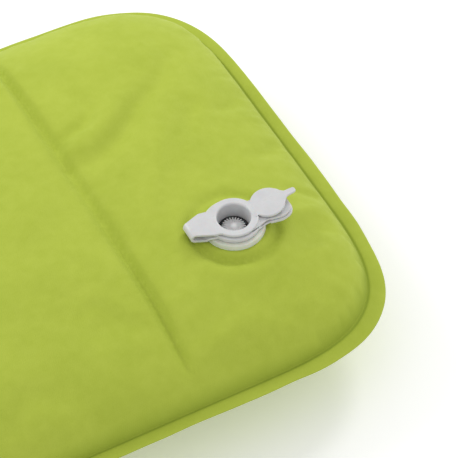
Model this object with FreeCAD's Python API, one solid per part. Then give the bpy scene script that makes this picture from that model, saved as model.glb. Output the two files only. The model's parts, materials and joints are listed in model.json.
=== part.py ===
"""Inflatable camp pillow with a flip-open flat valve. Millimetres, +Z up.

The origin is the middle of the base, on the surface that the pillow lies on. X runs along the long
side and Y along the short one. The valve sits near the front right corner, with its cap folded open
towards +X and its hinge loop towards -X.
"""
import FreeCAD, Part
import math
import os

from FreeCAD import Vector

# ---------------------------------------------------------------- pillow body
LENGTH = 388.0          # X, over the edge weld
WIDTH = 288.0           # Y, over the edge weld
CORNER = 100.0          # length of the stretch that rounds each corner, along either side
CORNER_POWER = 3.3      # superellipse power of a corner: 2 is a circle, larger is squarer
FLANGE = 8.0            # width of the flat edge weld
FLANGE_SHEET = 0.5      # thickness of each panel's layer in the edge weld
PANEL_SHEET = 0.8       # thickness of a panel where it is inflated
WELD_Z = 38.0           # height of the edge weld's middle plane
TOP_Z = 73.0            # height of the top panel beside the valve
SLOPE_RUN = 42.0        # how far inside the edge weld a panel levels out
SLOPE_POWER = 2.2       # how steeply a panel leaves the edge weld
SLOPE_STEPS = (0.0, 0.12, 0.28, 0.5, 0.75, 1.0)

# ---------------------------------------------------------------- inner baffles
BAFFLE_X = 62.0         # distance of each baffle from the middle
BAFFLE_LENGTH = 244.0   # along Y; air passes round both ends
BAFFLE_SHEET = 0.5
BAFFLE_TAB = 8.0        # width of the welded tabs along the baffle's two long edges
BAFFLE_GAP = 0.3        # room for the weld between a tab and its panel

# ---------------------------------------------------------------- valve place and levels
VALVE_X = 120.5
VALVE_Y = -63.5
PLATE_Z = TOP_Z + 8.0   # upper face of the port plate: the valve's levels count down from here

# ---------------------------------------------------------------- valve base
BASE_FLANGE_R = 21.0
BASE_FLANGE_SHEET = 0.8
BOSS_R_LOW = 17.0
BOSS_R_TOP = 16.4
BOSS_TOP = -4.6
BOSS_EDGE = 0.8
NECK_R = 11.6
NECK_TOP = -2.8
BEAD_R = 12.15
BEAD_TALL = 0.6
BEAD_SLOPE = 0.36       # height of the cone from the neck out to the bead
BASE_BORE_R = 10.3

# ---------------------------------------------------------------- strap ring
RING_R = 14.4
RING_BORE_R = 11.68
RING_REBATE_R = 12.25
RING_TOP = -1.95
RING_BOTTOM = -4.4
RING_EDGE = 0.5
RING_PLAY = 0.08        # gap between the ring's rebate and the bead above the neck
RING_RECESS_TOP = -2.85
RING_LOBE_TOP = -3.45
RING_LOBE_BOTTOM = -5.3
LOBE_NECK_X = 17.0      # the lobes get thicker beyond here, clear of the round parts

# ---------------------------------------------------------------- hinge loop
STRAP_SHEET = 1.4
LOOP_R = 2.9            # outer radius of the bend
LOOP_X = -26.0          # outermost point of the bend
LOOP_FRONT_Y = -2.2     # sides of the strap where its bend begins: it sits off the cap's line
LOOP_BACK_Y = 8.2
LOOP_TAPER = 0.6        # how much each side of the bend narrows

# ---------------------------------------------------------------- port plate and tube
PLATE_R = 13.0
PLATE_SHEET = 1.7
PLATE_EDGE = 0.5
MOUTH_R = 10.0          # where the rounded lip meets the plate's upper face
LIP_ROUND = 1.15
NOZZLE_STOP = -6.3      # step in the bore that a pump's nozzle stands on
BORE_R_LOW = 8.4
TUBE_FLOOR = -9.4       # upper face of the valve seat
TUBE_BOTTOM = -10.8
TUBE_R_TOP = 10.1
TUBE_R_BOTTOM = 9.15
SEAL_RIB_R = 10.24
SEAL_RIB_ROUND = 0.5
SEAL_RIB_Z = -3.7
PLATE_LOBE_TOP = -1.75
PLATE_LOBE_THIN = -2.65
PLATE_LOBE_BOTTOM = -3.2
CAP_GAP = 0.25

# ---------------------------------------------------------------- cap
CAP_X = 20.0            # centre of the open cap, from the valve's axis
CAP_R = 9.35
CAP_SHEET = 1.6
CAP_EDGE = 0.45
CAP_HINGE_X = CAP_X / 2
CAP_HINGE_Z = 0.03
CAP_LIFT = 6.0          # degrees that the open cap stands up from the plate
CAP_NECK = 10.4
CAP_NECK_SHEET = 0.65
CAP_WEB_HALF = 0.25
CAP_WEB_SHEET = 0.42
CAP_FINGER_X = 36.4
NOTCH_FLOOR = -0.95

# ---------------------------------------------------------------- check valve
SEAT_HUB_R = 2.6
SEAT_RIM_R = 7.5
SEAT_SPOKES = 6
SEAT_SPOKE_WIDTH = 1.4
STEM_R = 1.2
STEM_HOLE_R = 1.26
BUTTON_R = 6.3
BUTTON_CROWN = -6.5
BUTTON_RIM = -7.8
BUTTON_TEETH = 24
TOOTH_ROOT_R = 3.9      # where the notches between the teeth run out
TOOTH_NOTCH = 0.85      # width of a notch at the button's edge
DIAPHRAGM_R = 7.9
DIAPHRAGM_SHEET = 0.6
DIAPHRAGM_GAP = 0.05
STEM_KNOB_R = 1.9
STEM_KNOB_TALL = 1.1


def save(shape, node):
    """Write one sub-part, after a check that it is sound."""
    shape = shape.removeSplitter()
    for solid in shape.Solids:
        if not solid.isValid() or solid.Volume <= 0:
            raise ValueError("unsound solid in " + node)
    shape.exportStep("parts/" + node + ".step")
    span = shape.BoundBox
    print("%-18s solids %d volume %9.1f  z %.2f to %.2f" % (
        node, len(shape.Solids), shape.Volume, span.ZMin, span.ZMax))


# ---------------------------------------------------------------- outline of the pillow
def corner_curve(reach):
    """Points of one corner from the right side to the front or back, in its own quarter."""
    steps = 12
    for i in range(steps + 1):
        turn = math.pi / 2 * i / steps
        yield (reach * math.cos(turn) ** (2 / CORNER_POWER),
               reach * math.sin(turn) ** (2 / CORNER_POWER))


def outline(inset, z):
    """Closed smooth outline of the pillow at one height, moved in from the outer edge."""
    reach = CORNER - inset
    flat_x = LENGTH / 2 - CORNER
    flat_y = WIDTH / 2 - CORNER
    quarter = [(flat_x + x, flat_y + y) for x, y in corner_curve(reach)]
    points = []
    for sx, sy in ((1, 1), (-1, 1), (-1, -1), (1, -1)):
        stretch = quarter if sx * sy > 0 else quarter[::-1]
        points += [(sx * x, sy * y) for x, y in stretch]
        middle = (0.0, sy * (WIDTH / 2 - inset)) if sx * sy > 0 else (sx * (LENGTH / 2 - inset), 0.0)
        points.append(middle)
    curve = Part.BSplineCurve()
    curve.interpolate([Vector(x, y, z) for x, y in points], PeriodicFlag=True)
    return Part.Wire(curve.toShape())


def panel_height(crown_z, step):
    """Height of a panel at a step of its slope, from 0 at the edge weld to 1 where it is level."""
    return WELD_Z + (crown_z - WELD_Z) * (1 - (1 - step) ** SLOPE_POWER)


def dome(crown_z, inset):
    """Solid from the edge weld's plane to the level middle of one panel."""
    wires = []
    for step in SLOPE_STEPS:
        wires.append(outline(inset + step * SLOPE_RUN, panel_height(crown_z, step)))
    return Part.makeLoft(wires, True, False)


def slab(inset, z0, z1):
    """Flat solid with the pillow's outline."""
    return Part.Face(outline(inset, z0)).extrude(Vector(0, 0, z1 - z0))


def panel(crown_z, side):
    """One inflated panel with its layer of the edge weld. side is 1 for the top, -1 for the bottom."""
    cavity = dome(crown_z - side * PANEL_SHEET, FLANGE + PANEL_SHEET)
    level = box(-LENGTH, LENGTH, -WIDTH, WIDTH, 0.0, TOP_Z)
    shell = dome(crown_z, FLANGE).cut(cavity).common(level)
    layer = slab(0.0, WELD_Z, WELD_Z + side * FLANGE_SHEET)
    layer = layer.cut(slab(FLANGE + 0.4, WELD_Z - 2, WELD_Z + 2))
    return shell.fuse(layer)


def box(x0, x1, y0, y1, z0, z1):
    return Part.makeBox(x1 - x0, y1 - y0, z1 - z0, Vector(x0, y0, z0))


def baffle_curve(x, crown_z, side, depth):
    """Edges along Y that follow a panel's inner surface in the plane of a baffle."""
    half = BAFFLE_LENGTH / 2
    foot = WIDTH / 2 - FLANGE - depth
    level = foot - SLOPE_RUN
    inner_z = crown_z - side * depth
    edges = []
    for sign in (1, -1):
        slope = [Vector(x, sign * (foot - step * SLOPE_RUN), panel_height(inner_z, step))
                 for step in SLOPE_STEPS]
        curve = Part.BSplineCurve()
        curve.interpolate(slope)
        ends = curve.intersectCC(Part.LineSegment(Vector(x, sign * half, 0), Vector(x, sign * half, 99)))
        curve.segment(curve.parameter(Vector(ends[0].X, ends[0].Y, ends[0].Z)), curve.LastParameter)
        edges.append(curve.toShape())
    edges.append(Part.LineSegment(Vector(x, -level, inner_z), Vector(x, level, inner_z)).toShape())
    return edges


def baffle_sheet(x, width, upper, lower):
    """Sheet between two curves of a baffle, width thick along X. A curve is (crown, side, depth)."""
    half = BAFFLE_LENGTH / 2
    edges = baffle_curve(x, *upper) + baffle_curve(x, *lower)
    for y in (-half, half):
        ends = [v.Point for e in edges for v in e.Vertexes if abs(v.Y - y) < 1e-6]
        edges.append(Part.LineSegment(ends[0], ends[1]).toShape())
    face = Part.Face(Part.Wire(Part.__sortEdges__(edges)))
    face.translate(Vector(-width / 2, 0, 0))
    return face.extrude(Vector(width, 0, 0))


def baffle(side):
    """Inner web with a welded tab along each panel, which holds the two panels together."""
    x = side * BAFFLE_X
    depth = PANEL_SHEET + BAFFLE_GAP
    inner = depth + BAFFLE_SHEET
    web = baffle_sheet(x, BAFFLE_SHEET, (TOP_Z, 1, depth), (0.0, -1, depth))
    top_tab = baffle_sheet(x, BAFFLE_TAB, (TOP_Z, 1, depth), (TOP_Z, 1, inner))
    bottom_tab = baffle_sheet(x, BAFFLE_TAB, (0.0, -1, depth), (0.0, -1, inner))
    return web.multiFuse([top_tab, bottom_tab])


# ---------------------------------------------------------------- valve helpers, about its own axis
def place(shape):
    """Move a shape from the valve's own frame to its place on the pillow."""
    moved = shape.copy()
    moved.translate(Vector(VALVE_X, VALVE_Y, PLATE_Z))
    return moved


def rounded_outline(corners, z):
    """Closed outline from (x, y, radius) corners, each rounded by a tangent arc."""
    edges = []
    ends = []
    for i, (x, y, radius) in enumerate(corners):
        here = Vector(x, y, z)
        before = Vector(*corners[i - 1][:2], z).sub(here)
        after = Vector(*corners[(i + 1) % len(corners)][:2], z).sub(here)
        if radius == 0:
            ends.append((here, None, here))
            continue
        before.normalize()
        after.normalize()
        half = before.getAngle(after) / 2
        reach = radius / math.tan(half)
        start = here.add(Vector(before).multiply(reach))
        end = here.add(Vector(after).multiply(reach))
        inward = before.add(after).normalize()
        middle = here.add(inward.multiply(radius / math.sin(half) - radius))
        ends.append((start, middle, end))
    for i, (start, middle, end) in enumerate(ends):
        if middle is not None:
            edges.append(Part.Arc(start, middle, end).toShape())
        following = ends[(i + 1) % len(ends)][0]
        if end.distanceToPoint(following) > 1e-6:
            edges.append(Part.LineSegment(end, following).toShape())
    return Part.Wire(edges)


def prism(corners, z0, z1):
    return Part.Face(rounded_outline(corners, z0)).extrude(Vector(0, 0, z1 - z0))


def mirrored(corners):
    """Add the other side of an outline that is symmetric about X."""
    return corners + [(x, -y, radius) for x, y, radius in reversed(corners)]


def disc(radius, z0, z1, x=0.0):
    return Part.makeCylinder(radius, z1 - z0, Vector(x, 0, z0))


def cone(radius0, radius1, z0, z1):
    return Part.makeCone(radius0, radius1, z1 - z0, Vector(0, 0, z0))


def soften(shape, radius, keep):
    """Round the edges for which keep(edge) holds."""
    edges = [edge for edge in shape.Edges if keep(edge)]
    return shape.makeFillet(radius, edges)


def at_level(*levels):
    """Test for edges that lie flat at one of the levels."""
    def test(edge):
        span = edge.BoundBox
        flat = span.ZMax - span.ZMin < 1e-4
        return flat and any(abs(span.ZMin - level) < 1e-3 for level in levels)
    return test


# ---------------------------------------------------------------- valve pieces
def lobe_outline(grow):
    """Thumb lobe on the cap's side, with its neck cut in deeper at the back."""
    return [
        (4.5, 11.6 + grow, 0),
        (12.6, 7.2 + grow, 5.0),
        (23.8, 10.3 + grow, 8.0),
        (31.2 + grow, 8.4 + grow, 6.0),
        (31.2 + grow, -8.4 - grow, 6.0),
        (23.8, -10.3 - grow, 8.0),
        (15.2, -8.9 - grow, 8.0),
        (4.5, -12.0 - grow, 0),
    ]


def tab_outline():
    """Tapered strap on the hinge side, as far as the loop's bend."""
    bend_x = LOOP_X + LOOP_R
    return [
        (bend_x, LOOP_BACK_Y, 0),
        (-15.8, 10.5, 3.0),
        (-8.6, 9.3, 0),
        (-8.6, -7.6, 0),
        (-14.6, -6.2, 3.0),
        (bend_x, LOOP_FRONT_Y, 0),
    ]


def valve_base():
    """Weld flange under the top panel, boss on top of it and the neck that holds the strap ring."""
    fabric = TOP_Z - PLATE_Z
    flange_top = fabric - PANEL_SHEET
    boss = cone(BOSS_R_LOW, BOSS_R_TOP, flange_top, BOSS_TOP)
    boss = soften(boss, BOSS_EDGE, at_level(BOSS_TOP))
    body = boss.multiFuse([
        disc(BASE_FLANGE_R, flange_top - BASE_FLANGE_SHEET, flange_top),
        disc(NECK_R, BOSS_TOP - 0.5, NECK_TOP),
        cone(NECK_R, BEAD_R, NECK_TOP - BEAD_TALL - BEAD_SLOPE, NECK_TOP - BEAD_TALL),
        disc(BEAD_R, NECK_TOP - BEAD_TALL, NECK_TOP),
    ])
    return body.cut(disc(BASE_BORE_R, -20, 5))


def strap_ring():
    """Ring that turns in the neck's groove, with the lower thumb lobe and the loop's lower strap."""
    ring = soften(disc(RING_R, RING_BOTTOM, RING_TOP), RING_EDGE, at_level(RING_TOP, RING_BOTTOM))
    lobe = prism(lobe_outline(0.6), RING_BOTTOM, RING_LOBE_TOP)
    far = box(LOBE_NECK_X, 60, -30, 30, RING_LOBE_BOTTOM, RING_BOTTOM)
    foot = prism(lobe_outline(0.6), RING_LOBE_BOTTOM, RING_BOTTOM).common(far)
    recess = prism(lobe_outline(0.5), RING_RECESS_TOP, 0)
    strap_top = LOOP_R * -2 + STRAP_SHEET
    strap_low = LOOP_R * -2
    side = [
        (LOOP_X + LOOP_R, strap_low), (-18.2, strap_low), (-16.4, RING_BOTTOM), (-12.6, RING_BOTTOM),
        (-12.6, RING_BOTTOM + STRAP_SHEET + 0.3), (-16.0, RING_BOTTOM + STRAP_SHEET + 0.1),
        (-18.4, strap_top), (LOOP_X + LOOP_R, strap_top),
    ]
    wire = Part.makePolygon([Vector(x, -20, z) for x, z in side + side[:1]])
    strap = Part.Face(wire).extrude(Vector(0, 40, 0)).common(prism(tab_outline(), -10, 0))
    body = ring.multiFuse([lobe, foot]).cut(recess).fuse(strap)
    rebate = NECK_TOP - BEAD_TALL - RING_PLAY
    neck_space = disc(RING_BORE_R, -20, 5).fuse(disc(RING_REBATE_R, rebate, 5))
    return body.cut(neck_space.fuse(cone(RING_BORE_R, RING_REBATE_R, rebate - BEAD_SLOPE, rebate)))


def hinge_loop():
    """Bend of the strap that joins the strap ring to the port plate, as a living hinge."""
    centre = Vector(LOOP_X + LOOP_R, 0, -LOOP_R)
    outer = Part.makeCylinder(LOOP_R, 40, centre.add(Vector(0, -20, 0)), Vector(0, 1, 0))
    inner = Part.makeCylinder(LOOP_R - STRAP_SHEET, 40, centre.add(Vector(0, -20, 0)), Vector(0, 1, 0))
    bend = outer.cut(inner).cut(box(centre.x, 0, -30, 30, -20, 10))
    edge = [
        (LOOP_X, LOOP_BACK_Y - LOOP_TAPER, 0),
        (centre.x, LOOP_BACK_Y, 0),
        (centre.x, LOOP_FRONT_Y, 0),
        (LOOP_X, LOOP_FRONT_Y + LOOP_TAPER, 0),
    ]
    return bend.common(prism(edge, -10, 5))


def port_plate():
    """Upper plate with the rounded mouth, the strap to the loop and the upper thumb lobe."""
    rim = disc(PLATE_R, -PLATE_SHEET, 0)
    strap = prism(tab_outline(), -STRAP_SHEET, 0)
    plate = soften(rim, PLATE_EDGE, at_level(0, -PLATE_SHEET)).fuse(strap)
    plate = plate.cut(disc(CAP_R + CAP_GAP, -PLATE_SHEET - 1, 1, CAP_X))
    lobe = prism(lobe_outline(-0.1), PLATE_LOBE_THIN, PLATE_LOBE_TOP)
    far = box(LOBE_NECK_X, 60, -30, 30, -10, 0)
    foot = prism(lobe_outline(-0.1), PLATE_LOBE_BOTTOM, PLATE_LOBE_THIN).common(far)
    collar = disc(TUBE_R_TOP, PLATE_LOBE_THIN, -0.5)
    notch_back = CAP_HINGE_X - CAP_WEB_HALF
    notch = box(notch_back, CAP_X, -CAP_NECK / 2 - 0.3, CAP_NECK / 2 + 0.3, NOTCH_FLOOR, 1)
    body = plate.multiFuse([lobe, foot, collar])
    throat = disc(MOUTH_R - LIP_ROUND, -20, 1)
    lip_block = disc(MOUTH_R, -LIP_ROUND, 1)
    lip = Part.makeTorus(MOUTH_R, LIP_ROUND, Vector(0, 0, -LIP_ROUND))
    return body.cut(throat.fuse(lip_block.cut(lip))).cut(notch)


def port_tube():
    """Tapered tube under the plate: it plugs the base's wide port and carries the check valve."""
    body = cone(TUBE_R_BOTTOM, TUBE_R_TOP, TUBE_BOTTOM, PLATE_LOBE_THIN)
    rib = Part.makeTorus(SEAL_RIB_R - SEAL_RIB_ROUND, SEAL_RIB_ROUND, Vector(0, 0, SEAL_RIB_Z))
    bore = disc(MOUTH_R - LIP_ROUND, NOZZLE_STOP, 1).fuse(disc(BORE_R_LOW, TUBE_BOTTOM - 1, NOZZLE_STOP))
    return body.fuse(rib).cut(bore)


def valve_seat():
    """Spoked seat pressed into the tube's lower end, with the hole that guides the stem."""
    ring = disc(BORE_R_LOW, TUBE_BOTTOM, TUBE_FLOOR).cut(disc(SEAT_RIM_R, -20, 0))
    hub = disc(SEAT_HUB_R, TUBE_BOTTOM, TUBE_FLOOR)
    spokes = []
    for i in range(SEAT_SPOKES):
        spoke = box(SEAT_HUB_R - 0.6, SEAT_RIM_R + 0.3, -SEAT_SPOKE_WIDTH / 2, SEAT_SPOKE_WIDTH / 2,
                    TUBE_BOTTOM, TUBE_FLOOR)
        spoke.rotate(Vector(), Vector(0, 0, 1), 360 * i / SEAT_SPOKES)
        spokes.append(spoke)
    return ring.multiFuse([hub] + spokes).cut(disc(STEM_HOLE_R, -20, 0))


def valve_button():
    """Toothed domed button on a stem that passes through the seat, with a knob below."""
    rise = BUTTON_CROWN - BUTTON_RIM
    ball_r = (BUTTON_R ** 2 + rise ** 2) / (2 * rise)
    ball = Part.makeSphere(ball_r, Vector(0, 0, BUTTON_CROWN - ball_r))
    skirt = disc(BUTTON_R, BUTTON_RIM - 0.5, BUTTON_CROWN + 1)
    body = ball.common(skirt)
    wide = TOOTH_NOTCH / 2 * (BUTTON_R + 1 - TOOTH_ROOT_R) / (BUTTON_R - TOOTH_ROOT_R)
    notch = prism([(TOOTH_ROOT_R, 0, 0), (BUTTON_R + 1, -wide, 0), (BUTTON_R + 1, wide, 0)],
                  BUTTON_RIM - 1, BUTTON_CROWN + 1)
    notches = []
    for i in range(BUTTON_TEETH):
        cutter = notch.copy()
        cutter.rotate(Vector(), Vector(0, 0, 1), 360 * i / BUTTON_TEETH)
        notches.append(cutter)
    body = body.cut(notches)
    knob_top = TUBE_BOTTOM - DIAPHRAGM_GAP - DIAPHRAGM_SHEET
    stem = disc(STEM_R, knob_top - 0.2, BUTTON_RIM)
    knob = disc(STEM_KNOB_R, knob_top - STEM_KNOB_TALL, knob_top)
    return body.multiFuse([stem, knob])


def valve_diaphragm():
    """Silicone disc that closes the seat's openings from below."""
    top = TUBE_BOTTOM - DIAPHRAGM_GAP
    return disc(DIAPHRAGM_R, top - DIAPHRAGM_SHEET, top).cut(disc(STEM_R, -20, 0))


def cap():
    """Round lid with a finger tab, and the neck that joins it to its hinge web."""
    body = soften(disc(CAP_R, -CAP_SHEET, 0, CAP_X), CAP_EDGE, at_level(0, -CAP_SHEET))
    finger = prism(mirrored([
        (CAP_X + 7.6, 4.9, 0),
        (CAP_X + 10.6, 1.9, 1.6),
        (CAP_FINGER_X, 1.5, 1.2),
    ]), -CAP_SHEET + 0.2, -0.05)
    neck = box(CAP_HINGE_X + CAP_WEB_HALF, CAP_X - 5, -CAP_NECK / 2, CAP_NECK / 2, -CAP_NECK_SHEET, 0)
    lid = body.multiFuse([finger, neck])
    lid.rotate(Vector(CAP_HINGE_X, 0, CAP_HINGE_Z), Vector(0, -1, 0), CAP_LIFT)
    return lid


def cap_hinge_web():
    """Thin web across the notch in the mouth's rim: the cap's living hinge."""
    half = CAP_NECK / 2
    return box(CAP_HINGE_X - CAP_WEB_HALF, CAP_HINGE_X + CAP_WEB_HALF, -half, half, -CAP_WEB_SHEET, 0)


os.makedirs("parts", exist_ok=True)

port_hole = disc(BOSS_R_LOW, TOP_Z - PLATE_Z - PANEL_SHEET - 2, TOP_Z - PLATE_Z + 2)
save(panel(TOP_Z, 1).cut(place(port_hole)), "top_panel")
save(panel(0.0, -1), "bottom_panel")
save(baffle(-1), "baffle_left")
save(baffle(1), "baffle_right")
save(place(valve_base()), "valve_base")
save(place(strap_ring()), "strap_ring")
save(place(hinge_loop()), "hinge_loop")
save(place(port_plate()), "port_plate")
save(place(port_tube()), "port_tube")
save(place(valve_seat()), "valve_seat")
save(place(valve_button()), "valve_button")
save(place(valve_diaphragm()), "valve_diaphragm")
save(place(cap()), "cap")
save(place(cap_hinge_web()), "cap_hinge_web")
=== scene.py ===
"""Looks of the camp pillow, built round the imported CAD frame. Lengths in metres unless a name says mm."""
import json
import math
import random

import bmesh
import bpy
import numpy as np
from mathutils import Matrix, Vector, noise
from mathutils.geometry import delaunay_2d_cdt


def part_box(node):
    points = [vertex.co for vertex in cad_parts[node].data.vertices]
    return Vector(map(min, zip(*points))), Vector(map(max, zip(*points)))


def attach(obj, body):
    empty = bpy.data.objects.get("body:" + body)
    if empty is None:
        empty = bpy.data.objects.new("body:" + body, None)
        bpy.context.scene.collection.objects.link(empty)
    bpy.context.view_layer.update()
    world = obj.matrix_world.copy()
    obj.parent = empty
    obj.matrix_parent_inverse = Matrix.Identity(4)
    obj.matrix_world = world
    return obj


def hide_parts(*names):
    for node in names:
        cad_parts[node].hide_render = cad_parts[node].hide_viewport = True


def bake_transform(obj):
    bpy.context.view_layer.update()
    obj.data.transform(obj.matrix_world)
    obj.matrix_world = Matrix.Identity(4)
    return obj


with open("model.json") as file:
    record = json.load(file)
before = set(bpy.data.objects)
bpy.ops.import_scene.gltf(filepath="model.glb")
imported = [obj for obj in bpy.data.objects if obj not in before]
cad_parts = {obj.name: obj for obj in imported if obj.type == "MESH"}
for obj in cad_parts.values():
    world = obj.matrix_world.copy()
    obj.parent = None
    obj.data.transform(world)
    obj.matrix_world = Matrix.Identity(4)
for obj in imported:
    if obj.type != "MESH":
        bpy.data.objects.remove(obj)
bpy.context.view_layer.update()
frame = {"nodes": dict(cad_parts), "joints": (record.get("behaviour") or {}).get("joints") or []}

MM = 0.001
NODES = frame["nodes"]

# ---------------------------------------------------------------- places, read from the frame
PANEL_LOW, PANEL_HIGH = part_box("top_panel")
BAFFLE_LOW, BAFFLE_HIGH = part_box("baffle_right")
SWIVEL = next(j for j in frame["joints"] if j["name"] == "valve_swivel")
VALVE = Vector(SWIVEL["pos_m"])
PLATE_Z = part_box("port_plate")[1].z
WELD_Z = PANEL_LOW.z
TOP_Z = PANEL_HIGH.z
MOUTH = Vector((VALVE.x, VALVE.y, PLATE_Z))

# ---------------------------------------------------------------- camera
CAMERA_AZIMUTH = math.radians(-28.2)
CAMERA_ELEVATION = math.radians(50.0)
CAMERA_DISTANCE = 1.248
CAMERA_LENS_MM = 188.6
CAMERA_SENSOR_MM = 36.0
CAMERA_CLIP_END = 20.0
MOUTH_RIGHT_OF_CENTRE = 0.0025
MOUTH_ABOVE_CENTRE = 0.0065


def make_camera():
    a, e = CAMERA_AZIMUTH, CAMERA_ELEVATION
    right = Vector((math.cos(a), math.sin(a), 0))
    look = Vector((-math.sin(a) * math.cos(e), math.cos(a) * math.cos(e), -math.sin(e)))
    up = right.cross(look)
    aim = MOUTH - right * MOUTH_RIGHT_OF_CENTRE - up * MOUTH_ABOVE_CENTRE
    data = bpy.data.cameras.new("camera")
    data.lens = CAMERA_LENS_MM
    data.sensor_width = CAMERA_SENSOR_MM
    data.clip_end = CAMERA_CLIP_END
    camera = bpy.data.objects.new("camera", data)
    bpy.context.scene.collection.objects.link(camera)
    camera.matrix_world = Matrix.Translation(aim - look * CAMERA_DISTANCE) @ Matrix(
        (right, up, -look)).transposed().to_4x4()
    bpy.context.scene.camera = camera


make_camera()


# ---------------------------------------------------------------- mesh helpers
def add_object(name, mesh):
    made = bpy.data.objects.new(name, mesh)
    bpy.context.scene.collection.objects.link(made)
    return made


def mesh_from(name, points, faces):
    mesh = bpy.data.meshes.new(name)
    mesh.from_pydata([tuple(p) for p in points], [], faces)
    mesh.update()
    return mesh


def bake_modifiers(piece):
    """Turn the modifiers' result into the piece's own mesh."""
    graph = bpy.context.evaluated_depsgraph_get()
    mesh = bpy.data.meshes.new_from_object(piece.evaluated_get(graph))
    mesh.name = piece.name
    piece.modifiers.clear()
    piece.data = mesh


def smooth_shading(mesh):
    for polygon in mesh.polygons:
        polygon.use_smooth = True


def dress(mesh, material):
    """Give a mesh one material and no other."""
    mesh.materials.clear()
    mesh.materials.append(material)


def clamp(value):
    return min(max(value, 0.0), 1.0)


# ---------------------------------------------------------------- materials
BAND_PERIOD = 0.314      # distance between the wave texture's bands at scale 1


class Graph:
    """Short ways to add shader nodes to one new material."""

    def __init__(self, name):
        self.material = bpy.data.materials.new(name)
        self.material.use_nodes = True
        self.nodes = self.material.node_tree.nodes
        self.links = self.material.node_tree.links
        self.shader = self.nodes["Principled BSDF"]
        self.place = self.nodes.new("ShaderNodeTexCoord").outputs["Object"]

    def put(self, value, socket):
        if isinstance(value, bpy.types.NodeSocket):
            self.links.new(value, socket)
        else:
            socket.default_value = value

    def set(self, **values):
        for name, value in values.items():
            self.put(value, self.shader.inputs[name.replace("_", " ")])

    def math(self, operation, a, b):
        node = self.nodes.new("ShaderNodeMath")
        node.operation = operation
        self.put(a, node.inputs[0])
        self.put(b, node.inputs[1])
        return node.outputs[0]

    def noise(self, scale, detail, roughness):
        node = self.nodes.new("ShaderNodeTexNoise")
        self.put(self.place, node.inputs["Vector"])
        node.inputs["Scale"].default_value = scale
        node.inputs["Detail"].default_value = detail
        node.inputs["Roughness"].default_value = roughness
        return node.outputs["Fac"]

    def range(self, value, low, high, new_low, new_high):
        node = self.nodes.new("ShaderNodeMapRange")
        for socket, number in zip(node.inputs, (value, low, high, new_low, new_high)):
            self.put(number, socket)
        return node.outputs[0]

    def turned(self, angle):
        node = self.nodes.new("ShaderNodeMapping")
        self.put(self.place, node.inputs["Vector"])
        node.inputs["Rotation"].default_value[2] = angle
        return node.outputs[0]

    def bands(self, pitch_mm, angle):
        """Fine ridges, pitch_mm apart, turned about Z."""
        node = self.nodes.new("ShaderNodeTexWave")
        node.wave_profile = "SIN"
        self.put(self.turned(angle), node.inputs["Vector"])
        node.inputs["Scale"].default_value = BAND_PERIOD / (pitch_mm * MM)
        node.inputs["Distortion"].default_value = 0.6
        node.inputs["Detail"].default_value = 1.0
        return node.outputs["Fac"]

    def mix(self, share, a, b):
        node = self.nodes.new("ShaderNodeMix")
        node.data_type = "RGBA"
        self.put(share, node.inputs[0])
        for value, socket in ((a, node.inputs[6]), (b, node.inputs[7])):
            self.put((*value, 1) if isinstance(value, tuple) else value, socket)
        return node.outputs[2]

    def attribute(self, name):
        node = self.nodes.new("ShaderNodeAttribute")
        node.attribute_name = name
        return node.outputs["Fac"]

    def bump(self, height, distance_mm, strength):
        node = self.nodes.new("ShaderNodeBump")
        node.inputs["Distance"].default_value = distance_mm * MM
        node.inputs["Strength"].default_value = strength
        self.put(height, node.inputs["Height"])
        self.put(node.outputs[0], self.shader.inputs["Normal"])


FABRIC_COLOUR = (0.440, 0.524, 0.062)
FABRIC_SHADE = (0.368, 0.452, 0.045)
# painted shade for the weld's groove, mixed into the cloth's colour
WELD_GROOVE_SHADE_COLOUR = (0.235, 0.310, 0.026)
SHEEN_TINT = (0.85, 1.0, 0.45, 1)
RIB_MM, RIB_TURN = 0.9, math.radians(38)
CROSS_RIB_MM, CROSS_RIB_TURN = 0.8, math.radians(-52)
# Noise scales, in waves per metre, about.
FIBRE_SCALE = 1600
NAP_SCALE = 160
CLOTH_CLOUD_SCALE = 26
GRAIN_SCALE = 3200
MARK_SCALE = 700
GLOSS_CLOUD_SCALE = 190
HAZE_SCALE = 90


def fabric_material():
    """Brushed knit: fine diagonal ribs, short fibres, cloudy nap, and painted shade along the weld's groove.
    """
    g = Graph("brushed_fabric")
    cross_ribs = g.math("MULTIPLY", g.bands(CROSS_RIB_MM, CROSS_RIB_TURN), 0.5)
    ribs = g.math("ADD", g.bands(RIB_MM, RIB_TURN), cross_ribs)
    fibres = g.noise(FIBRE_SCALE, 4.0, 0.7)
    clouds = g.noise(CLOTH_CLOUD_SCALE, 3.0, 0.6)
    nap = g.noise(NAP_SCALE, 3.0, 0.6)
    tone = g.math("ADD", g.range(clouds, 0.36, 0.64, 0.0, 0.42), g.range(nap, 0.3, 0.7, 0.0, 0.3))
    colour = g.mix(tone, FABRIC_COLOUR, FABRIC_SHADE)
    colour = g.mix(g.range(fibres, 0.35, 0.75, 0.0, 0.22), colour, FABRIC_SHADE)
    # Painted shade along the weld's groove.
    weld = g.attribute("weld_groove_shade")
    colour = g.mix(g.math("MULTIPLY", weld, 0.75), colour, WELD_GROOVE_SHADE_COLOUR)
    g.set(Base_Color=colour, Roughness=g.range(nap, 0.3, 0.7, 0.72, 0.86))
    g.set(Sheen_Weight=0.14, Sheen_Roughness=0.45, Sheen_Tint=SHEEN_TINT, Specular_IOR_Level=0.2)
    height = g.math("ADD", g.math("MULTIPLY", ribs, 0.35), g.math("MULTIPLY", fibres, 0.6))
    g.bump(g.math("ADD", height, g.math("MULTIPLY", nap, 0.9)), 0.16, 0.55)
    return g.material


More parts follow.
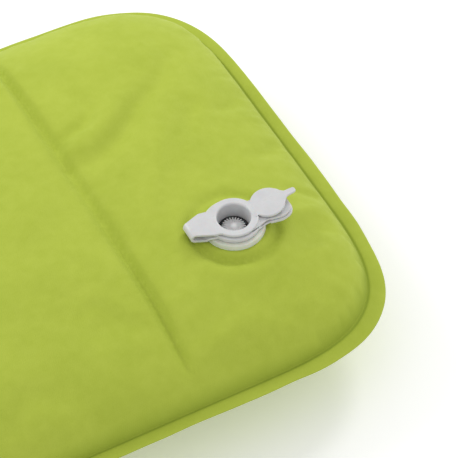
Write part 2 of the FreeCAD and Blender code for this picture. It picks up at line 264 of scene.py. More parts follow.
def moulded_material(name, colour, shade, roughness, soft=0.0):
    """Soft moulded plastic: fine grain from the mould, cloudy gloss and faint handling marks."""
    g = Graph(name)
    clouds = g.noise(GLOSS_CLOUD_SCALE, 3.0, 0.6)
    grain = g.noise(GRAIN_SCALE, 2.0, 0.6)
    g.set(Base_Color=g.mix(g.range(clouds, 0.35, 0.7, 0.0, 1.0), colour, shade))
    marks = g.range(g.noise(MARK_SCALE, 4.0, 0.7), 0.45, 0.75, 0.0, 0.10)
    g.set(Roughness=g.math("ADD", g.range(clouds, 0.3, 0.7, roughness - 0.05, roughness + 0.05), marks))
    g.set(Specular_IOR_Level=0.45)
    if soft:
        g.set(Subsurface_Weight=soft, Subsurface_Scale=0.0015)
    g.bump(g.math("ADD", grain, g.math("MULTIPLY", clouds, 0.8)), 0.03, 0.5)
    return g.material


def film_material():
    """Translucent airtight film, seen only from inside."""
    g = Graph("airtight_film")
    haze = g.noise(HAZE_SCALE, 3.0, 0.6)
    g.set(Base_Color=g.mix(haze, (0.72, 0.72, 0.68), (0.62, 0.62, 0.58)))
    g.set(Roughness=g.range(haze, 0.3, 0.7, 0.3, 0.5), Transmission_Weight=0.3)
    g.bump(haze, 0.1, 0.4)
    return g.material


FABRIC = fabric_material()
SOFT_GREY = moulded_material("soft_grey", (0.63, 0.63, 0.633), (0.585, 0.585, 0.592), 0.30, 0.08)
BASE_CREAM = moulded_material("base_cream", (0.68, 0.70, 0.60), (0.61, 0.63, 0.53), 0.36, 0.20)
BUTTON_WHITE = moulded_material("button_white", (0.74, 0.74, 0.74), (0.68, 0.68, 0.68), 0.32, 0.08)
# The seat's near-black colour is painted shade for the deep bore.
SEAT_BORE_SHADE = moulded_material("seat_bore_shade", (0.045, 0.045, 0.048), (0.03, 0.03, 0.032), 0.5)
SILICONE = moulded_material("silicone_rubber", (0.55, 0.55, 0.54), (0.48, 0.48, 0.47), 0.45, 0.2)
FILM = film_material()

# ---------------------------------------------------------------- fabric: outline and layout, in mm
A_MM = PANEL_HIGH.x / MM
B_MM = PANEL_HIGH.y / MM
CORNER_MM = 100.0
CORNER_POWER = 3.3
FLANGE_MM = 8.0
BAFFLE_MM = (BAFFLE_LOW.x + BAFFLE_HIGH.x) / 2 / MM
BAFFLE_HALF_MM = BAFFLE_HIGH.y / MM
VALVE_MM = (VALVE.x / MM, VALVE.y / MM)
VALVE_FLAT_MM = 19.2
VALVE_HOLE_MM = 16.75
GRID_MM = 4.6
GRID_SEED = 7
GRID_JITTER_MM = 0.12 * GRID_MM
CLEAR_MM = GRID_MM * 0.6     # room that the loose points leave beside a line
ROW_MM = GRID_MM * math.sqrt(3) / 2
QUARTER_STEPS = 40
TOUCH_MM = 0.01
OUTSIDE_MM = 0.5


def outline_mm(inset, step):
    """Points round the pillow, evenly spaced, moved in from the outer edge."""
    reach = CORNER_MM - inset
    flat_x = A_MM - CORNER_MM
    flat_y = B_MM - CORNER_MM
    dense = []
    for quarter in range(4):
        for i in range(QUARTER_STEPS):
            turn = math.pi / 2 * (i if quarter % 2 == 0 else QUARTER_STEPS - i) / QUARTER_STEPS
            x = flat_x + reach * math.cos(turn) ** (2 / CORNER_POWER)
            y = flat_y + reach * math.sin(turn) ** (2 / CORNER_POWER)
            dense.append((x * (1, -1, -1, 1)[quarter], y * (1, 1, -1, -1)[quarter]))
    points = np.array(dense + dense[:1])
    lengths = np.concatenate([[0], np.cumsum(np.hypot(*np.diff(points, axis=0).T))])
    count = round(lengths[-1] / step)
    at = np.arange(count) * lengths[-1] / count
    return np.stack([np.interp(at, lengths, points[:, k]) for k in (0, 1)], 1)


def inside_depth(x, y, inset):
    """How far a point is inside the outline, about, and negative outside it."""
    reach = CORNER_MM - inset
    px = max(abs(x) - (A_MM - CORNER_MM), 0) / reach
    py = max(abs(y) - (B_MM - CORNER_MM), 0) / reach
    corner = (px ** CORNER_POWER + py ** CORNER_POWER) ** (1 / CORNER_POWER)
    if px == 0 and py == 0:
        return min(A_MM - inset - abs(x), B_MM - inset - abs(y))
    return reach * (1 - corner)


def circle_mm(radius):
    """Points round the valve, about as far apart as the grid's."""
    turns = round(2 * math.pi * radius / GRID_MM)
    return [(VALVE_MM[0] + radius * math.cos(2 * math.pi * i / turns),
             VALVE_MM[1] + radius * math.sin(2 * math.pi * i / turns)) for i in range(turns)]


def valve_distance(x, y):
    return math.hypot(x - VALVE_MM[0], y - VALVE_MM[1])


def panel_grid():
    """Flat triangles inside the edge weld, with edges along the weld, the baffles and the valve."""
    rng = random.Random(GRID_SEED)
    points = []
    edges = []

    def add_line(line, closed):
        start = len(points)
        points.extend(map(tuple, line))
        count = len(line)
        edges.extend((start + i, start + (i + 1) % count) for i in range(count if closed else count - 1))
        return range(start, start + count)

    weld_ids = add_line(outline_mm(FLANGE_MM, GRID_MM), True)
    steps = round(2 * BAFFLE_HALF_MM / GRID_MM)
    ys = np.linspace(-BAFFLE_HALF_MM, BAFFLE_HALF_MM, steps + 1)
    for side in (-1, 1):
        add_line([(side * BAFFLE_MM, y) for y in ys], False)
        for row in (-2, -1, 1, 2):
            shift = GRID_MM / 2 if row % 2 else 0.0
            points.extend((side * BAFFLE_MM + row * ROW_MM, y + shift) for y in ys[:-1])
    rings = (VALVE_HOLE_MM, VALVE_FLAT_MM, *(VALVE_FLAT_MM + k * ROW_MM for k in (1, 2, 3)))
    for radius in rings:
        add_line(circle_mm(radius), True)
    beside = 2 * ROW_MM + CLEAR_MM
    rows = int(B_MM / ROW_MM) + 1
    columns = int(A_MM / GRID_MM) + 2
    for j in range(-rows, rows + 1):
        for i in range(-columns, columns + 1):
            x = (i + (0.5 if j % 2 else 0.0)) * GRID_MM
            y = j * ROW_MM
            near_baffle = abs(abs(x) - BAFFLE_MM) < beside and abs(y) < BAFFLE_HALF_MM + CLEAR_MM
            near_ring = any(abs(valve_distance(x, y) - radius) < CLEAR_MM for radius in rings)
            if inside_depth(x, y, FLANGE_MM) < CLEAR_MM or near_baffle or near_ring:
                continue
            x += rng.uniform(-GRID_JITTER_MM, GRID_JITTER_MM)
            y += rng.uniform(-GRID_JITTER_MM, GRID_JITTER_MM)
            points.append((x, y))
    made = delaunay_2d_cdt([Vector(p) for p in points], edges, [], 1, 1e-5)
    flat = np.array([tuple(v) for v in made[0]])
    faces = []
    for face in made[2]:
        middle = flat[list(face)].mean(0)
        if inside_depth(middle[0], middle[1], FLANGE_MM) < -OUTSIDE_MM:
            continue
        (ax, ay), (bx, by), (cx, cy) = (flat[i] for i in face[:3])
        turn = (bx - ax) * (cy - ay) - (by - ay) * (cx - ax)
        faces.append(tuple(face) if turn > 0 else tuple(reversed(face)))
    where = {}
    for i, sources in enumerate(made[3]):
        for source in sources:
            where[source] = i
    return flat, faces, [where[i] for i in weld_ids]


# ---------------------------------------------------------------- fabric: inflation
CREST_MM = 34.8          # rise of the end chambers above the edge weld
SINK_MM = 42.0           # how far the underside would hang below the weld, before the floor stops it
DOME_REACH_MM = 80.0     # how far in from the weld the starting shape goes on rising
CREASE_MM = 5.0          # how deep a baffle draws the cloth in, at its middle
RIDGE_POWER = 2.6        # form of the cloth's rise along a baffle
RIDGE_ROUND = 0.6
SLACK_MIDDLE = 1.02      # flat cloth's length against the filled outline's
SLACK_END = 1.06
SLACK_Y = 1.05
PRESSURE = 2.4
LAST_FRAME = 26
CLOTH_SETTINGS = {
    "quality": 7, "mass": 0.12, "air_damping": 1.0,
    "tension_stiffness": 25, "compression_stiffness": 25, "shear_stiffness": 12, "bending_stiffness": 0.6,
    "tension_damping": 12, "compression_damping": 12, "shear_damping": 12, "bending_damping": 1,
}


def dome_mm(x, y):
    """Rise of the starting shape, between 0 at the weld and 1."""
    depth = max(inside_depth(x, y, FLANGE_MM), 0.0)
    t = min(depth / DOME_REACH_MM, 1.0)
    return math.sqrt(1 - (1 - t) ** 2)


def slack_xy(x, y):
    """Where a point lies on the flat, uninflated cloth."""
    ax = abs(x)
    wide = min(ax, BAFFLE_MM) * SLACK_MIDDLE + max(ax - BAFFLE_MM, 0) * SLACK_END
    return math.copysign(wide, x), y * SLACK_Y


def inflate():
    """Both panels as one closed cloth, blown up between the weld, the baffles and the valve."""
    flat, faces, weld = panel_grid()
    welded = set(weld)
    count = len(flat)
    low = {i: (i if i in welded else None) for i in range(count)}
    start = []
    rest = []
    for x, y in flat:
        start.append((x, y, CREST_MM * dome_mm(x, y)))
        rest.append((*slack_xy(x, y), 0.0))
    for i, (x, y) in enumerate(flat):
        if low[i] is None:
            low[i] = len(start)
            start.append((x, y, -SINK_MM * dome_mm(x, y)))
            rest.append((*slack_xy(x, y), 0.0))
    all_faces = list(faces) + [tuple(low[i] for i in reversed(f)) for f in faces]
    pinned = list(weld)
    for i, (x, y) in enumerate(flat):
        if abs(abs(x) - BAFFLE_MM) < TOUCH_MM and abs(y) <= BAFFLE_HALF_MM + TOUCH_MM:
            fade = 1 - (abs(y) / BAFFLE_HALF_MM) ** 2
            ridge = (1 - (abs(y) / (B_MM - FLANGE_MM)) ** RIDGE_POWER) ** RIDGE_ROUND
            start[i] = (x, y, CREST_MM * ridge - CREASE_MM * fade)
            start[low[i]] = (x, y, -(SINK_MM * ridge - CREASE_MM * fade))
            pinned += [i, low[i]]
        if valve_distance(x, y) <= VALVE_FLAT_MM + TOUCH_MM:
            start[i] = (x, y, (TOP_Z - WELD_Z) / MM)
            pinned.append(i)
    cloth = add_object("inflated", mesh_from("inflated", np.array(start) * MM, all_faces))
    cloth.shape_key_add(name="Basis")
    key = cloth.shape_key_add(name="cut")
    for i, p in enumerate(rest):
        key.data[i].co = tuple(c * MM for c in p)
    key.value = 0
    group = cloth.vertex_groups.new(name="held")
    group.add(sorted(set(pinned)), 1.0, "REPLACE")
    modifier = cloth.modifiers.new("cloth", "CLOTH")
    settings = modifier.settings
    for setting, value in CLOTH_SETTINGS.items():
        setattr(settings, setting, value)
    settings.vertex_group_mass = "held"
    settings.rest_shape_key = key
    settings.use_pressure = True
    settings.uniform_pressure_force = PRESSURE
    settings.effector_weights.gravity = 0
    modifier.collision_settings.use_collision = False
    modifier.collision_settings.use_self_collision = False
    last = LAST_FRAME
    modifier.point_cache.frame_start = 1
    modifier.point_cache.frame_end = LAST_FRAME
    scene = bpy.context.scene
    scene.frame_start = 1
    scene.frame_end = LAST_FRAME
    for number in range(1, last + 1):
        scene.frame_set(number)
    graph = bpy.context.evaluated_depsgraph_get()
    done = cloth.evaluated_get(graph).to_mesh()
    shape = np.array([v.co for v in done.vertices]) / MM
    bpy.data.objects.remove(cloth)
    scene.frame_set(1)
    top = shape[:count]
    bottom = np.array([shape[low[i]] for i in range(count)])
    return flat, faces, weld, top, bottom


# ---------------------------------------------------------------- fabric: folds and creases of the top
# Each soft fold is a line in plan, in mm, with its half width and its height (below 0 for a valley).
FOLDS = [
    ([(62, 14), (78, 12), (96, 21), (114, 37), (132, 48), (150, 70)], 6.5, -1.5),
    ([(66, 24), (84, 26), (104, 40), (116, 56)], 8.0, 1.3),
    ([(128, 38), (118, 16), (98, -16), (83, -42)], 8.0, 1.1),
    ([(89, 60), (90, 46), (82, 37), (68, 34), (60, 24)], 4.0, -1.0),
    ([(139, 36), (144, 27), (131, 11)], 5.0, -0.9),
    ([(174, 30), (163, 22), (152, 20)], 4.0, -0.9),
    ([(178, -8), (168, -16), (158, -18)], 4.5, -1.0),
    ([(180, -52), (170, -50), (160, -44)], 4.0, -0.8),
    ([(176, -72), (162, -76), (148, -86)], 7.0, -1.7),
    ([(178, -60), (166, -63), (152, -66)], 4.0, 0.7),
    ([(174, -86), (160, -92), (146, -96)], 5.5, 0.9),
    ([(60, -122), (80, -120), (94, -115), (106, -116), (116, -124)], 6.0, 0.7),
    ([(72, -133), (90, -129), (104, -133)], 7.0, -1.0),
    ([(112, -128), (124, -131), (134, -134)], 4.0, -0.8),
    ([(20, -60), (26, -84), (40, -96)], 9.0, -0.7),
    ([(10, -20), (30, -10), (44, 16)], 10.0, 0.7),
    ([(-52, 60), (-30, 66), (-8, 92)], 8.0, -0.7),
    ([(-70, 40), (-96, 48), (-120, 74)], 7.0, -0.9),
    ([(-66, -52), (-92, -60), (-112, -86), (-110, -112)], 6.5, -0.9),
    ([(-128, 10), (-146, 4), (-166, 6)], 6.0, 0.8),
    ([(-120, -36), (-148, -44), (-172, -40)], 6.0, -0.8),
    ([(-40, -118), (-18, -108), (4, -116)], 7.0, -0.7),
]
FOLD_DEPTH = 1.9         # all folds' heights are multiplied by this
FOLD_END = 0.04          # share of a fold's length that keeps some height at each end
MOAT_MM = 1.9            # dip of the cloth round the valve's welded base
MOAT_R_MM = 21.9
MOAT_WIDTH_MM = 2.8
PUFF_MM = 0.8            # low swelling round the dip
PUFF_R_MM = 30.0
PUFF_WIDTH_MM = 5.0
VALVE_FADE_MM = 2.5      # the relief grows from nothing over this distance from the valve's flat ring
WELD_FADE_MM = 9.0       # and over this distance from the weld
CLOUD_MM = 1.2           # wide, low swellings
CLOUD_PITCH_MM = 34.0
CRUMPLE_MM = 0.64        # small dents, coarse and fine, in patches
CRUMPLE_PITCH_MM = 9.0
FINE_CRUMPLE_PITCH_MM = 5.0
PATCH_PITCH_MM = 50.0
PUCKER_MM = 1.1          # short gathers at the weld
PUCKER_REACH_MM = 20.0
PUCKER_START_MM = 5.0
PUCKER_LENGTH_MM = 45.0
PUCKER_TURN_MM = 170.0   # distance round the pillow for each radian
PUCKER_PITCH_MM = 8.0
FINE_PUCKER_PITCH_MM = 3.6


def plan_noise(x, y, pitch_mm, seed):
    """Smooth noise over the plan, between about -1 and 1."""
    return noise.noise(Vector((x / pitch_mm, y / pitch_mm, seed)))


def bell(away, width):
    """1 at the middle, and close to 0 from twice the width outward."""
    return math.exp(-(away / width) ** 2)


def line_distance(x, y, line):
    """Distance to a line of points, and how far along it the nearest place is, from 0 to 1."""
    best = (1e9, 0.0)
    spans = len(line) - 1
    for k, ((ax, ay), (bx, by)) in enumerate(zip(line, line[1:])):
        dx, dy = bx - ax, by - ay
        t = max(0.0, min(1.0, ((x - ax) * dx + (y - ay) * dy) / (dx * dx + dy * dy)))
        away = math.hypot(x - ax - t * dx, y - ay - t * dy)
        best = min(best, (away, (k + t) / spans))
    return best


def pucker_mm(x, y, seed):
    """Short gathers that run in from the weld."""
    depth = max(inside_depth(x, y, FLANGE_MM), 0.0)
    along = math.atan2(y * A_MM / B_MM, x) * PUCKER_TURN_MM
    coarse = noise.noise(Vector((along / PUCKER_PITCH_MM, depth / PUCKER_LENGTH_MM, seed)))
    fine = noise.noise(Vector((along / FINE_PUCKER_PITCH_MM, 0, seed)))
    gather = coarse + 0.5 * fine
    return PUCKER_MM * gather * min(depth / PUCKER_START_MM, 1.0) * bell(depth, PUCKER_REACH_MM)


def relief_mm(x, y):
    """Height of the top's soft folds, gathers and dents at a place, and of the dip round the valve."""
    rise = pucker_mm(x, y, 5.5)
    for line, half_width, height in FOLDS:
        away, along = line_distance(x, y, line)
        if away < 3 * half_width:
            ends = math.sin(math.pi * min(max(along, FOLD_END), 1 - FOLD_END)) ** 0.5
            rise += FOLD_DEPTH * height * ends * bell(away, half_width)
    rise += CLOUD_MM * plan_noise(x, y, CLOUD_PITCH_MM, 3.1)
    coarse = abs(plan_noise(x, y, CRUMPLE_PITCH_MM, 7.7))
    fine = abs(plan_noise(x, y, FINE_CRUMPLE_PITCH_MM, 1.3))
    rise -= CRUMPLE_MM * (coarse + 0.6 * fine) * (0.4 + abs(plan_noise(x, y, PATCH_PITCH_MM, 9.2)))
    away = valve_distance(x, y)
    beside_valve = clamp((away - VALVE_FLAT_MM) / VALVE_FADE_MM)
    beside_weld = clamp(inside_depth(x, y, FLANGE_MM) / WELD_FADE_MM)
    turn = math.atan2(y - VALVE_MM[1], x - VALVE_MM[0])
    uneven = 1 + 0.3 * math.cos(turn + 1.9) + 0.2 * math.sin(2 * turn + 0.6) + 0.12 * math.sin(5 * turn)
    moat = -MOAT_MM * uneven * bell(away - MOAT_R_MM, MOAT_WIDTH_MM)
    puff = PUFF_MM * uneven * bell(away - PUFF_R_MM, PUFF_WIDTH_MM)
    return (rise + moat + puff) * beside_valve * beside_weld


# ---------------------------------------------------------------- fabric: panels as pieces
SHEET_MM = 0.4
RING_GAP_MM = 0.35
RING_CLEAR_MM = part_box("strap_ring")[0].z / MM - RING_GAP_MM     # the cloth stays below this, near the ring
RING_SWEEP_MM = 36.0
LAYER_MM = 0.45          # height of each panel's outer face above the weld's middle plane
WELD_SHARPNESS = 0.8     # of the edge along the weld's inner side
WELD_GROOVE_SHADE = 0.55        # strength of the painted shade in the weld's groove there
# Rows of the flange: share of its width outward, lift in mm, and strength of the painted shade in the weld's
# groove.
WELD_ROWS = ((0.02, -0.05, 0.4), (0.06, -0.25, 1.0), (0.14, -0.25, 1.0), (0.19, 0.0, 0.3), (0.25, 0.06, 0.0),
             (0.5, 0.06, 0.0), (0.8, 0.0, 0.0), (0.96, 0.0, 0.0), (1.0, -0.25, 0.0))
# Places where the welded edge stands proud: x, y, half width and height, in mm.
EDGE_BULGES = [(170, -122, 34, 2.2), (194, -28, 50, 1.2), (160, -138, 18, 0.9), (131, -144, 12, 1.1),
               (112, -144, 9, -0.8)]


EDGE_WANDER_MM = 0.6
EDGE_WANDER_PITCH_MM = 22.0


def edge_shift(x, y):
    """Small outward shift that makes the welded edge wander as a real one does."""
    shift = EDGE_WANDER_MM * plan_noise(x, y, EDGE_WANDER_PITCH_MM, 4.4)
    for at_x, at_y, half_width, height in EDGE_BULGES:
        shift += height * bell(math.hypot(x - at_x, y - at_y), half_width)
    return shift


def flange_rows(flat, weld, sign, first_id):
    """The welded edge outside the weld: its points, and each column's ids and strengths of the painted groove
    shade.
    """
    points = []
    groove_shades = {}
    columns = []
    count = len(weld)
    for k in range(count):
        before, after = flat[weld[k - 1]], flat[weld[(k + 1) % count]]
        along = (after - before) / np.linalg.norm(after - before)
        outward = np.array([along[1], -along[0]])
        here = flat[weld[k]]
        width = FLANGE_MM + edge_shift(*here)
        ids = []
        for share, lift, shade in WELD_ROWS:
            x, y = here + outward * width * share
            number = first_id + len(points)
            ids.append(number)
            groove_shades[number] = shade
            points.append((x, y, WELD_Z / MM + sign * (LAYER_MM + lift)))
        columns.append(ids)
    return points, columns, groove_shades


def drop_loose(mesh):
    """Delete the points that no face uses."""
    loose = bmesh.new()
    loose.from_mesh(mesh)
    bmesh.ops.delete(loose, geom=[v for v in loose.verts if not v.link_faces], context="VERTS")
    loose.to_mesh(mesh)
    loose.free()


def build_panel(name, node, heights, flat, faces, weld, upper):
    """One panel of cloth with its flange and its folds, as a thin sheet."""
    sign = 1 if upper else -1
    co = heights.copy()
    co[:, 2] += WELD_Z / MM + sign * LAYER_MM
    points = [tuple(p) for p in co]
    kept = [f for f in faces if not upper or valve_distance(*flat[list(f)].mean(0)) > VALVE_HOLE_MM]
    ordered = [f if upper else tuple(reversed(f)) for f in kept]
    outer, columns, groove_shades = flange_rows(flat, weld, sign, len(points))
    points += outer
    count = len(weld)
    for k in range(count):
        previous_a, previous_b = weld[k], weld[(k + 1) % count]
        for ia, ib in zip(columns[k], columns[(k + 1) % count]):
            quad = (previous_a, ia, ib, previous_b)
            ordered.append(quad if upper else tuple(reversed(quad)))
            previous_a, previous_b = ia, ib
    mesh = mesh_from(name, np.array(points) * MM, ordered)
    creases = mesh.attributes.new("crease_edge", "FLOAT", "EDGE")
    welded = set(weld)
    for edge in mesh.edges:
        if edge.vertices[0] in welded and edge.vertices[1] in welded:
            creases.data[edge.index].value = WELD_SHARPNESS
    # Strengths of the painted shade along the weld's groove, per point.
    groove_shades.update(dict.fromkeys(weld, WELD_GROOVE_SHADE))
    marks = mesh.attributes.new("weld_groove_shade", "FLOAT", "POINT")
    for i, shade in groove_shades.items():
        marks.data[i].value = shade
    piece = add_object(name, mesh)
    smooth = piece.modifiers.new("smooth", "SUBSURF")
    smooth.levels = 1
    smooth.render_levels = 1
    bake_modifiers(piece)
    mesh = piece.data
    for vertex in mesh.vertices:
        x, y, z = vertex.co / MM
        if upper:
            z += relief_mm(x, y)
            vertex.co.z = (min(z, RING_CLEAR_MM) if valve_distance(x, y) < RING_SWEEP_MM else z) * MM
        else:
            vertex.co.z = max(z + pucker_mm(x, y, 2.5), 0.0) * MM
    drop_loose(mesh)
    sheet = piece.modifiers.new("sheet", "SOLIDIFY")
    sheet.thickness = SHEET_MM * MM
    sheet.offset = -1
    bake_modifiers(piece)
    smooth_shading(piece.data)
    dress(piece.data, FABRIC)
    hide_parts(node)
    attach(piece, "pillow")


FLAT, FACES, WELD, TOP, BOTTOM = inflate()
build_panel("top_cloth", "top_panel", TOP, FLAT, FACES, WELD, True)
build_panel("bottom_cloth", "bottom_panel", BOTTOM, FLAT, FACES, WELD, False)


# ---------------------------------------------------------------- inner baffles
TAB_HALF_MM = 4.0
UNDER_MM = 0.9           # how far the film lies inside the cloth's line
FILM_MM = 0.5
FILM_BOW_MM = 1.5
FILM_BOWS = 3


def build_baffle(side, node):
    """Film web between the creases, with its two welded tabs."""
    x = side * BAFFLE_MM
    ids = [i for i, (at_x, at_y) in enumerate(FLAT)
           if abs(at_x - x) < TOUCH_MM and abs(at_y) < BAFFLE_HALF_MM + TOUCH_MM]
    ids.sort(key=lambda i: FLAT[i][1])
    points = []
    faces = []
    for i in ids:
        y = TOP[i][1]
        high = WELD_Z / MM + TOP[i][2] + LAYER_MM - SHEET_MM - UNDER_MM
        low = max(WELD_Z / MM + BOTTOM[i][2], 0.0) + SHEET_MM + UNDER_MM
        bow = FILM_BOW_MM * math.sin(math.pi * FILM_BOWS * y / BAFFLE_HALF_MM)
        row = [(x - TAB_HALF_MM, high), (x, high), (x + bow, (high + low) / 2), (x, low),
               (x - TAB_HALF_MM, low)]
        points += [(px, y, pz) for px, pz in row]
    width = len(row)
    for k in range(len(ids) - 1):
        for j in range(width - 1):
            a = k * width + j
            faces.append((a, a + 1, a + width + 1, a + width))
    piece = add_object("film_" + node, mesh_from("film_" + node, np.array(points) * MM, faces))
    sheet = piece.modifiers.new("sheet", "SOLIDIFY")
    sheet.thickness = FILM_MM * MM
    sheet.offset = 0
    bake_modifiers(piece)
    smooth_shading(piece.data)
    dress(piece.data, FILM)
    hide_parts(node)
    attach(piece, "pillow")


build_baffle(-1, "baffle_left")
build_baffle(1, "baffle_right")


# ---------------------------------------------------------------- valve
VALVE_VOXEL_MM = 0.22
BUTTON_VOXEL_MM = 0.12
STRIP_CORNER_TURNS = [math.radians(a) for a in (0, 30, 60, 90)]
BASE_HIDDEN_MM = 18.2
BASE_DRAW = 0.2          # what is left of the base's width outside that
BORE_LOW_MM = 8.4
BORE_HIGH_MM = 8.85
BORE_FLOOR_MM = -9.2     # from the plate's upper face
BORE_LIP_MM = -1.6
BUTTON_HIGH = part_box("valve_button")[1].z
FLUTES = 24
FLUTE_MM = 0.75
FLUTE_START_MM = 0.7     # the flutes start here and reach their depth over the next distance
FLUTE_GROW_MM = 2.2
FLUTE_RIM_MM = 5.0       # and they grow shallower again from here outward
FLUTE_RIM_GROW_MM = 1.3
FLUTE_RIM_SHARE = 0.35
CROWN_MM = 1.5           # only this much of the button's height is cut
LOOP_LOW, LOOP_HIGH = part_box("hinge_loop")
LOOP_STEPS = 24
STRAP_HALF_MM = 0.7
STRAP_OVERLAP_MM = 2.4   # how far the bend's ends run into the ring and the plate
STRAP_OVERLAP_STEPS = 4
STRAP_CORNER_MM = 0.35
STRAP_FRONT_SLOPE = 0.47     # how fast the strap widens toward the ring and the plate
STRAP_BACK_SLOPE = 0.315
STRAP_TAPER_MM = 0.6     # each side's narrowing at the middle of the bend
SUNK_MM = 0.09           # how far the bend's ends dip under the surfaces that they run into
PROUD_MM = 0.03          # how far a bending piece stands outside what it replaces
FLIP = next(j for j in frame["joints"] if j["name"] == "cap_flip")
WEB_PLACES_MM = (-0.9, -0.6, -0.35, -0.2, -0.1, 0.0, 0.1, 0.2, 0.35, 0.7, 1.1, 1.5)
WEB_MM = 0.42            # thickness at the fold
WEB_GROW = 0.2           # gain for each mm away from the fold
WEB_GROW_END_MM = 0.9
WEB_CORNER_MM = 0.12
NOTCH_GAP_MM = 0.33


def at_valve(x, y, z):
    """World place from mm in the valve's own frame, with z from the plate's upper face."""
    return Vector((VALVE.x + x * MM, VALVE.y + y * MM, PLATE_Z + z * MM))


def rounded_piece(name, nodes, voxel_mm, passes, material, body):
    """A piece with the CAD nodes' shape and the soft edges of a moulding."""
    joined = bmesh.new()
    for node in nodes:
        joined.from_mesh(NODES[node].data)
    mesh = bpy.data.meshes.new(name)
    joined.to_mesh(mesh)
    joined.free()
    piece = add_object(name, mesh)
    remesh = piece.modifiers.new("remesh", "REMESH")
    remesh.mode = "VOXEL"
    remesh.voxel_size = voxel_mm * MM
    soften = piece.modifiers.new("soften", "SMOOTH")
    soften.factor = 0.5
    soften.iterations = passes
    bake_modifiers(piece)
    smooth_shading(piece.data)
    dress(piece.data, material)
    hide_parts(*nodes)
    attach(piece, body)


def strip_piece(name, sections, corner_mm, material):
    """Closed strip along the valve's xz plane, through sections that each give a middle, a normal,
    half the thickness, and y at the front and back."""
    points = []
    faces = []
    for (x, z), (nx, nz), half, front, back in sections:
        ring = []
        for sy, sn in ((1, 1), (-1, 1), (-1, -1), (1, -1)):
            for turn in STRIP_CORNER_TURNS[::sy * sn]:
                y = (back if sy > 0 else front) - sy * corner_mm * (1 - math.cos(turn))
                n = sn * (half - corner_mm * (1 - math.sin(turn)))
                ring.append((x + nx * n, y, z + nz * n))
        points += ring
    width = len(points) // len(sections)
    for k in range(len(sections) - 1):
        for j in range(width):
            a, b = k * width + j, k * width + (j + 1) % width
            faces.append((a, b, b + width, a + width))
    faces.append(tuple(reversed(range(width))))
    last = (len(sections) - 1) * width
    faces.append(tuple(range(last, last + width)))
    piece = add_object(name, mesh_from(name, [at_valve(*p) for p in points], faces))
    tidy = bmesh.new()
    tidy.from_mesh(piece.data)
    bmesh.ops.recalc_face_normals(tidy, faces=tidy.faces)
    tidy.to_mesh(piece.data)
    tidy.free()
    smooth_shading(piece.data)
    dress(piece.data, material)
    return piece


def vertices_across(name):
    """A piece's vertices, each with its x, y and distance in mm from the valve's axis."""
    for vertex in bpy.data.objects[name].data.vertices:
        x = (vertex.co.x - VALVE.x) / MM
        y = (vertex.co.y - VALVE.y) / MM
        yield vertex, x, y, math.hypot(x, y)


def move_to_radius(vertex, x, y, away, wanted):
    """Move a vertex along its line from the valve's axis."""
    vertex.co.x = VALVE.x + x * wanted / away * MM
    vertex.co.y = VALVE.y + y * wanted / away * MM


def tuck_base():
    """Draw the base's weld flange in, under the flat of the cloth."""
    for vertex, x, y, away in vertices_across("weld_base"):
        if away > BASE_HIDDEN_MM:
            drawn = BASE_HIDDEN_MM + BASE_DRAW * (away - BASE_HIDDEN_MM)
            move_to_radius(vertex, x, y, away, drawn)


def draft_bore():
    """Give the mouth's bore the moulding's smooth draft, from the lip down to the valve seat."""
    for vertex, x, y, away in vertices_across("mouth_plate"):
        depth = (vertex.co.z - PLATE_Z) / MM
        if BORE_FLOOR_MM < depth < BORE_LIP_MM and BORE_LOW_MM - 0.1 < away < BORE_HIGH_MM + 0.05:
            share = (depth - BORE_LIP_MM) / (BORE_FLOOR_MM - BORE_LIP_MM)
            wall = BORE_HIGH_MM + (BORE_LOW_MM - BORE_HIGH_MM) * share
            move_to_radius(vertex, x, y, away, wall)


def flute_button():
    """Cut the flutes that run from the rim toward the button's middle."""
    for vertex, x, y, away in vertices_across("toothed_button"):
        rim = max((away - FLUTE_RIM_MM) / FLUTE_RIM_GROW_MM, 0.0)
        reach = clamp((away - FLUTE_START_MM) / FLUTE_GROW_MM) - FLUTE_RIM_SHARE * rim
        if vertex.co.z > BUTTON_HIGH - CROWN_MM * MM and vertex.normal.z > 0.1:
            vertex.co.z -= FLUTE_MM * MM * reach * (0.5 + 0.5 * math.cos(FLUTES * math.atan2(y, x)))


def build_loop():
    """Bend of the strap, built in one shape; on the real valve it opens out as the plate lifts."""
    outer = (LOOP_HIGH.z - LOOP_LOW.z) / 2 / MM
    bend_x = (LOOP_HIGH.x - VALVE.x) / MM
    centre_z = -outer
    front = (LOOP_LOW.y - VALVE.y) / MM
    back = (LOOP_HIGH.y - VALVE.y) / MM
    radius = outer - STRAP_HALF_MM
    half = STRAP_HALF_MM + PROUD_MM

    def section(x, z, nx, nz):
        off = x - bend_x
        if off > 0:
            sunk = SUNK_MM * off / STRAP_OVERLAP_MM
            proud = PROUD_MM - sunk
            return ((x, z), (nx, nz), half - sunk,
                    front - STRAP_FRONT_SLOPE * off - proud, back + STRAP_BACK_SLOPE * off + proud)
        taper = STRAP_TAPER_MM * off / outer
        return (x, z), (nx, nz), half, front - taper - PROUD_MM, back + taper + PROUD_MM

    sections = []
    for step in range(STRAP_OVERLAP_STEPS):
        x = bend_x + STRAP_OVERLAP_MM * (1 - step / STRAP_OVERLAP_STEPS)
        sections.append(section(x, centre_z - radius, 0, -1))
    for step in range(LOOP_STEPS + 1):
        turn = math.radians(270 - 180 * step / LOOP_STEPS)
        nx, nz = math.cos(turn), math.sin(turn)
        sections.append(section(bend_x + radius * nx, centre_z + radius * nz, nx, nz))
    for step in range(1, STRAP_OVERLAP_STEPS + 1):
        x = bend_x + STRAP_OVERLAP_MM * step / STRAP_OVERLAP_STEPS
        sections.append(section(x, centre_z + radius, 0, 1))
    piece = strip_piece("strap_bend", sections, STRAP_CORNER_MM, SOFT_GREY)
    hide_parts("hinge_loop")
    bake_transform(piece)


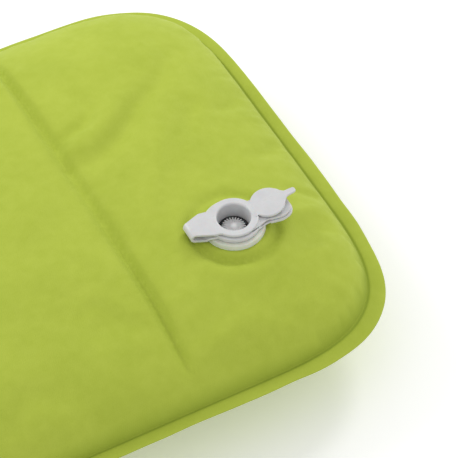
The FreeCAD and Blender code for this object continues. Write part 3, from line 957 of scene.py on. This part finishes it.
def build_web():
    """Living hinge between the mouth's rim and the cap's neck."""
    hinge_x = (FLIP["pos_m"][0] - VALVE.x) / MM
    low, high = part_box("cap_hinge_web")
    half_y = (high.y - low.y) / 2 / MM + NOTCH_GAP_MM
    lift = math.radians(180 - FLIP["range_deg"][1])
    sections = []
    for off in WEB_PLACES_MM:
        rise = max(off, 0.0) * math.tan(lift)
        top = PROUD_MM + rise
        thick = WEB_MM + WEB_GROW * min(abs(off), WEB_GROW_END_MM)
        sections.append(((hinge_x + off, top - thick / 2), (0, 1), thick / 2, -half_y, half_y))
    piece = strip_piece("cap_web", sections, WEB_CORNER_MM, SOFT_GREY)
    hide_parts("cap_hinge_web")
    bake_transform(piece)


rounded_piece("weld_base", ["valve_base"], VALVE_VOXEL_MM, 4, BASE_CREAM, "pillow")
rounded_piece("turning_ring", ["strap_ring"], VALVE_VOXEL_MM, 4, SOFT_GREY, "ring")
rounded_piece("mouth_plate", ["port_plate", "port_tube"], VALVE_VOXEL_MM, 4, SOFT_GREY, "plate")
rounded_piece("flip_cap", ["cap"], VALVE_VOXEL_MM, 5, SOFT_GREY, "lid")
rounded_piece("toothed_button", ["valve_button"], BUTTON_VOXEL_MM, 2, BUTTON_WHITE, "button")
tuck_base()
draft_bore()
flute_button()
build_loop()
build_web()
# The valve seat takes the near-black painted shade of the deep bore.
for node_name, material in (("valve_seat", SEAT_BORE_SHADE), ("valve_diaphragm", SILICONE)):
    dress(NODES[node_name].data, material)


# ---------------------------------------------------------------- stage and light
FLOOR_COLOUR = (0.93, 0.93, 0.93, 1)
FLOOR_HALF = 6.0
FLOOR_GLOW = 0.18
WORLD_STRENGTH = 0.80
# Each light: place, point that it faces, width, and power in watts.
KEY_LIGHT = ((1.05, 0.55, 0.95), (0.1, -0.05, 0.07), 0.4, 4.7)
BACK_LIGHT = ((-0.45, 0.75, 0.75), (-0.05, 0.0, 0.07), 0.5, 3.4)


def make_stage():
    g = Graph("floor")
    g.set(Base_Color=FLOOR_COLOUR, Roughness=0.9, Emission_Color=FLOOR_COLOUR, Emission_Strength=FLOOR_GLOW)
    half = FLOOR_HALF
    corners = [(-half, -half, 0), (half, -half, 0), (half, half, 0), (-half, half, 0)]
    mesh = mesh_from("floor", corners, [(0, 1, 2, 3)])
    mesh.materials.append(g.material)
    add_object("floor", mesh)


def area_light(name, place, target, size, power):
    data = bpy.data.lights.new(name, "AREA")
    data.shape = "DISK"
    data.size = size
    data.energy = power
    light = bpy.data.objects.new(name, data)
    light.location = place
    light.rotation_euler = (Vector(target) - Vector(place)).to_track_quat("-Z", "Y").to_euler()
    bpy.context.scene.collection.objects.link(light)


def make_light():
    world = bpy.data.worlds.new("studio")
    bpy.context.scene.world = world
    world.use_nodes = True
    background = world.node_tree.nodes["Background"].inputs
    background["Color"].default_value = (1, 1, 1, 1)
    background["Strength"].default_value = WORLD_STRENGTH
    area_light("key", *KEY_LIGHT)
    area_light("back", *BACK_LIGHT)
    bpy.context.scene.view_settings.view_transform = "Standard"


make_stage()
make_light()
